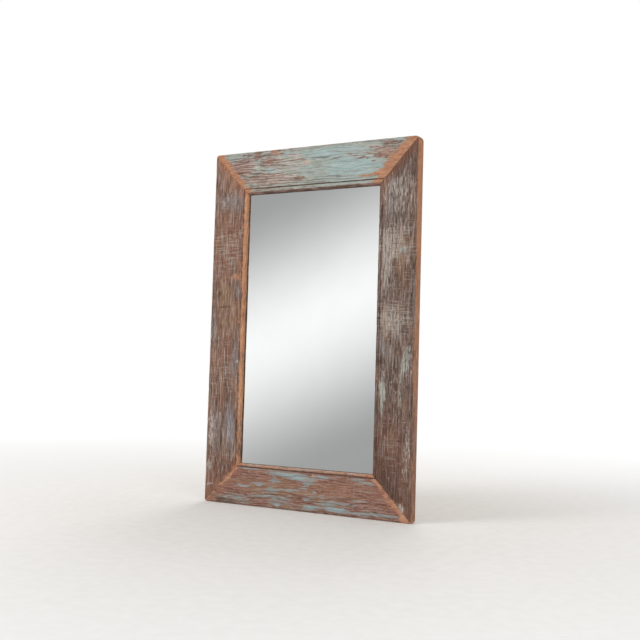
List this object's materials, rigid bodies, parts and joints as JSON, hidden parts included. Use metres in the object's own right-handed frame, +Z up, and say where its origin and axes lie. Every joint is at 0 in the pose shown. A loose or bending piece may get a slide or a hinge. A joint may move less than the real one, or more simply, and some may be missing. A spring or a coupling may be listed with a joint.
{
  "type": "framed wall mirror",
  "caption": "Upright rectangular mirror in a mitred frame of worn, part-painted reclaimed boards with a quirk bead round the glass, a screwed backing board and swinging strap hangers.",
  "frame": {"origin": "middle of the frame's underside, halfway through the thickness of the boards", "axes": "+Z up, -Y the glass side, +X to the right as seen from the front"},
  "size_m": [0.58, 0.0312, 0.914],
  "materials": {
    "flaking_painted_teak": "pale blue-green paint worn through to brown wood along the grain",
    "weathered_teak": "grey-brown weathered wood with pale paint flecks and saw marks",
    "scraped_teak": "red-brown scraped wood with blue-green paint left in the grain",
    "birch_dowel": "turned, unfinished",
    "silvered_glass": "clear float glass, silvered and painted behind",
    "plywood": "plain plywood",
    "zinc_plated_steel": "zinc plated",
    "steel_screw": "zinc plated wood screws"
  },
  "bodies": {
    "frame": {"top_rail": "flaking_painted_teak", "bottom_rail": "scraped_teak", "left_stile": "weathered_teak", "right_stile": "weathered_teak", "mitre_dowels_top_right": "birch_dowel", "corner_brace_top_right": "zinc_plated_steel", "brace_screws_top_right": "steel_screw", "mitre_dowels_bottom_right": "birch_dowel", "corner_brace_bottom_right": "zinc_plated_steel", "brace_screws_bottom_right": "steel_screw", "mitre_dowels_bottom_left": "birch_dowel", "corner_brace_bottom_left": "zinc_plated_steel", "brace_screws_bottom_left": "steel_screw", "mitre_dowels_top_left": "birch_dowel", "corner_brace_top_left": "zinc_plated_steel", "brace_screws_top_left": "steel_screw", "backing_screws_top_rail": "steel_screw", "backing_screws_right_stile": "steel_screw", "backing_screws_bottom_rail": "steel_screw", "backing_screws_left_stile": "steel_screw", "mirror_plate": "silvered_glass", "backing_board": "plywood", "left_hanger_strap": "zinc_plated_steel", "left_hanger_screws": "steel_screw", "right_hanger_strap": "zinc_plated_steel", "right_hanger_screws": "steel_screw"},
    "left_ring": {"left_hanger_ring": "zinc_plated_steel"},
    "right_ring": {"right_hanger_ring": "zinc_plated_steel"}
  },
  "joints": [
    {"name": "left_ring_swing", "type": "hinge", "parent": "frame", "child": "left_ring", "pos_m": [-0.24975, 0.0156, 0.704], "axis": [1, 0, 0], "range_deg": [0, 180]},
    {"name": "right_ring_swing", "type": "hinge", "parent": "frame", "child": "right_ring", "pos_m": [0.24975, 0.0156, 0.704], "axis": [1, 0, 0], "range_deg": [0, 180]}
  ]
}
